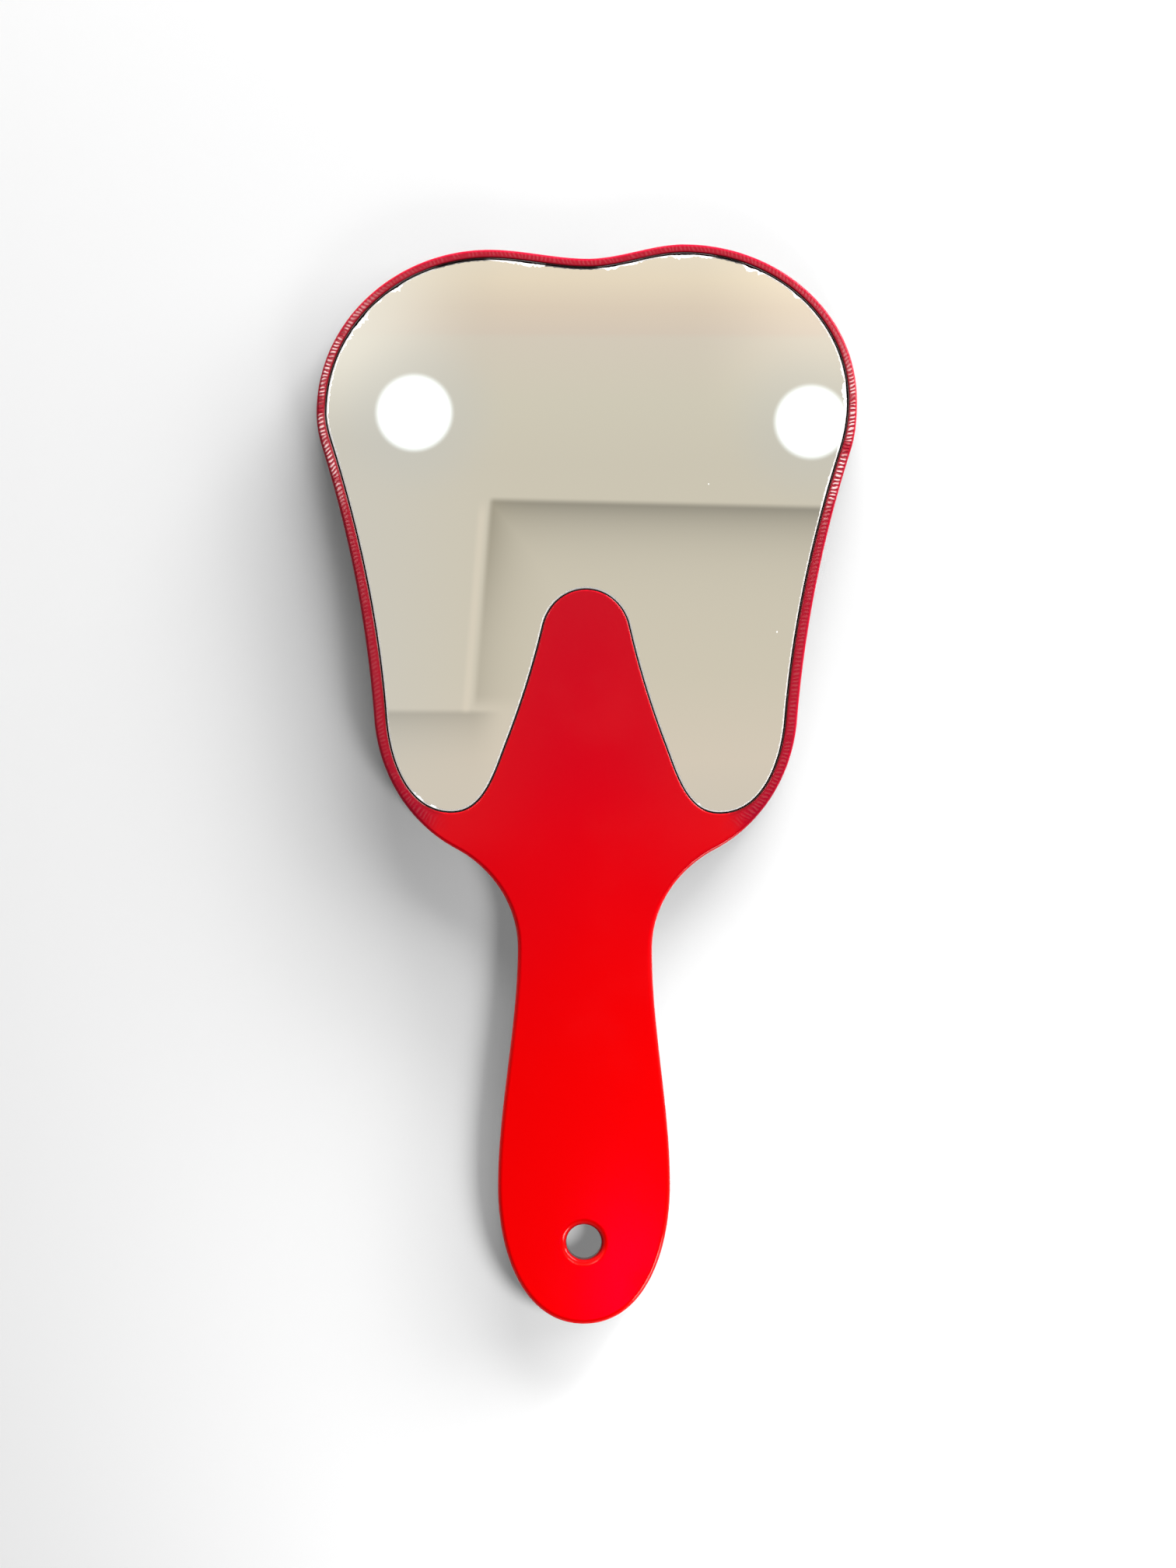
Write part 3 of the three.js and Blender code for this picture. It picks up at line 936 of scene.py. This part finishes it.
# Each part of the ceiling is a mask of smooth rises along x and y, mixed over what came before:
# the bands, the side, the recess with its shades, the viewer, the violet glow, panels and lamps.
def ceilingFinish():
    s = soffit
    finish = Finish("ceiling", Base_Color=(0, 0, 0, 1), Specular_IOR_Level=0, Emission_Strength=1.0)
    x, y = finish.acrossAndUp()
    colour = blend(finish, y, s["bands"])
    aside = (-x).rise(-s["sideFrom"], -s["sideTo"]) * y.rise(*s["sideUp"])
    colour = finish.mix(aside * s["sideShare"], colour, s["side"])
    stepX = x - (y * s["edgeXSlope"] + s["edgeX"])
    stepY = (x * s["edgeYSlope"] + s["edgeY"]) - y
    stepEnd = s["armEnd"] - y
    corner = stepX.rise(0, s["sharp"]) * stepY.rise(0, s["sharp"])
    below = stepEnd.rise(0, s["sharp"])
    upright = s["uprightShade"] + s["uprightMore"] * y.rise(*s["uprightUp"])
    sideShade = shadeBeside(stepX) * upright * (1 - stepEnd.rise(-0.012, 0.004))
    deep = shadeBeside(stepY).larger(sideShade) * corner
    under = shadeBeside(stepEnd) * below * (1 - stepX.rise(0, 0.03)) * s["armShade"]
    shade = 1 - deep.larger(under) * s["shade"]
    leftSheen, rightSheen = (
        side.rise(*s["sheenAside"]) * share for side, share in zip((-x, x), s["sheen"])
    )
    sheen = 1 + y.rise(*s["sheenUp"]) * (leftSheen + rightSheen)
    colour = finish.node("ShaderNodeVectorMath", {"operation": "SCALE"}, {0: colour, "Scale": shade * sheen})
    # painted shade, warmer beside the upright step
    colour = finish.mix(sideShade * corner * s["warmShadeShare"], colour, s["warmShade"])
    line = stepX.rise(-0.009, -0.004) * (1 - stepX.rise(-0.003, 0.001)) * stepY.rise(0, 0.02) * (1 - below)
    colour = finish.mix(line * s["lineShare"], colour, s["line"])
    half = (s["darkTip"] - y) * s["darkFlare"] + s["darkTipRadius"]
    margin = s["darkMargin"]
    trunk = (half - x.size()).rise(margin, margin * 2.5) * (s["darkTip"] - y).rise(0, margin)
    tip = s["darkTipRadius"] - finish.distance((0, s["darkTip"], stage["ceilingHeight"]))
    viewer = trunk.larger(tip.rise(margin, margin * 2.5))
    colour = finish.mix(viewer, colour, s["dark"])
    violetX, violetY, full, gone = s["violet"]
    away = finish.distance((violetX, violetY, stage["ceilingHeight"]))
    colour = finish.mix(1 - away.rise(full, gone), colour, s["violetGlow"])
    soft = s["panelSoft"]
    lengthways = y.rise(s["panelFrom"] - soft, s["panelFrom"] + soft)
    lengthways = lengthways * (1 - y.rise(s["panelTo"], s["panelTo"] + soft))
    for panelX, halfWidth, glow in s["panels"]:
        sideways = 1 - (x - panelX).size().rise(halfWidth, halfWidth + soft)
        colour = finish.mix(sideways * lengthways, colour, (glow, glow, glow, 1))
    for lampX, lampY, radius in s["lamps"]:
        away = finish.distance((lampX, lampY, stage["ceilingHeight"]))
        halo = 1 - away.rise(radius, radius + s["halo"])
        colour = finish.mix(halo * s["haloShare"], colour, s["haloTint"])
        lit = 1 - away.rise(radius - s["lampRim"], radius + s["lampRim"])
        colour = finish.mix(lit, colour, s["lampGlow"])
    finish.link(Emission_Color=colour)
    return finish


floor = stagePlane("floor", stage["floorHalf"], -0.0001, floorFinish())
ceiling = stagePlane("ceiling", stage["ceilingHalf"], stage["ceilingHeight"], ceilingFinish())
ceiling.visible_diffuse = False
ceiling.visible_shadow = False

world = bpy.data.worlds.new("world")
bpy.context.scene.world = world
world.use_nodes = True
background = world.node_tree.nodes["Background"]
direction = world.node_tree.nodes.new("ShaderNodeTexCoord")
parts = world.node_tree.nodes.new("ShaderNodeSeparateXYZ")
fade = world.node_tree.nodes.new("ShaderNodeMix")
fade.data_type = "RGBA"
fade.inputs[6].default_value = stage["worldHorizon"]
fade.inputs[7].default_value = stage["worldZenith"]
world.node_tree.links.new(direction.outputs["Generated"], parts.inputs[0])
world.node_tree.links.new(parts.outputs["Z"], fade.inputs[0])
world.node_tree.links.new(fade.outputs[2], background.inputs["Color"])

# Long bright windows low beyond the crown's right: in each, upright strips between two
# elevations, in degrees as the mirror sees them, with how brightly each glows.
window = {
    "away": 1.6,
    "width": 1.6,
    "mirrored": 35,  # the other one would burn out a low view of the handle
    "strips": {
        35: [(4, 8, 34), (8, 14, 21), (14, 22, 2.7)],
        75: [(1.5, 4, 70), (4, 8, 106), (8, 14, 9.2), (14, 22, 16)],
    },
}
handleLamp = {"across": 0.1, "place": (0.14, -0.2, 0.13), "aim": (0.03, -0.13, 0), "glow": 17}


# An area lamp's watts are its glow times pi times its area.
def addLamp(name, shape, size, location, target, glow):
    light = bpy.data.lights.new(name, "AREA")
    light.shape = shape
    light.size, light.size_y = size
    area = size[0] * size[1] * (1 if shape == "RECTANGLE" else math.pi / 4)
    light.energy = glow * math.pi * area
    lamp = bpy.data.objects.new(name, light)
    lamp.location = location
    lamp.rotation_euler = (Vector(target) - Vector(location)).to_track_quat("-Z", "Y").to_euler()
    lamp.visible_camera = False
    bpy.context.scene.collection.objects.link(lamp)
    return lamp


for azimuth, strips in window["strips"].items():
    angle = math.radians(azimuth)
    foot = window["away"] * Vector((math.cos(angle), math.sin(angle), 0))
    for low, high, glow in strips:
        below, above = (window["away"] * math.tan(math.radians(side)) for side in (low, high))
        middle = Vector((0, 0, (below + above) / 2))
        size = (window["width"], above - below)
        lamp = addLamp(f"window {azimuth} {low}", "RECTANGLE", size, foot + middle, middle, glow)
        lamp.visible_glossy = azimuth == window["mirrored"]
across = handleLamp["across"]
addLamp("nearHandle", "DISK", (across, across), handleLamp["place"], handleLamp["aim"], handleLamp["glow"])
print("stage set")

camera = bpy.data.objects.new("camera", bpy.data.cameras.new("camera"))
bpy.context.scene.collection.objects.link(camera)
bpy.context.scene.camera = camera
camera.location = (stage["cameraAside"], 0, stage["cameraHeight"])
camera.rotation_euler = (0, 0, stage["cameraRoll"])
camera.data.lens = stage["lens"]
bpy.context.scene.view_settings.view_transform = "Standard"
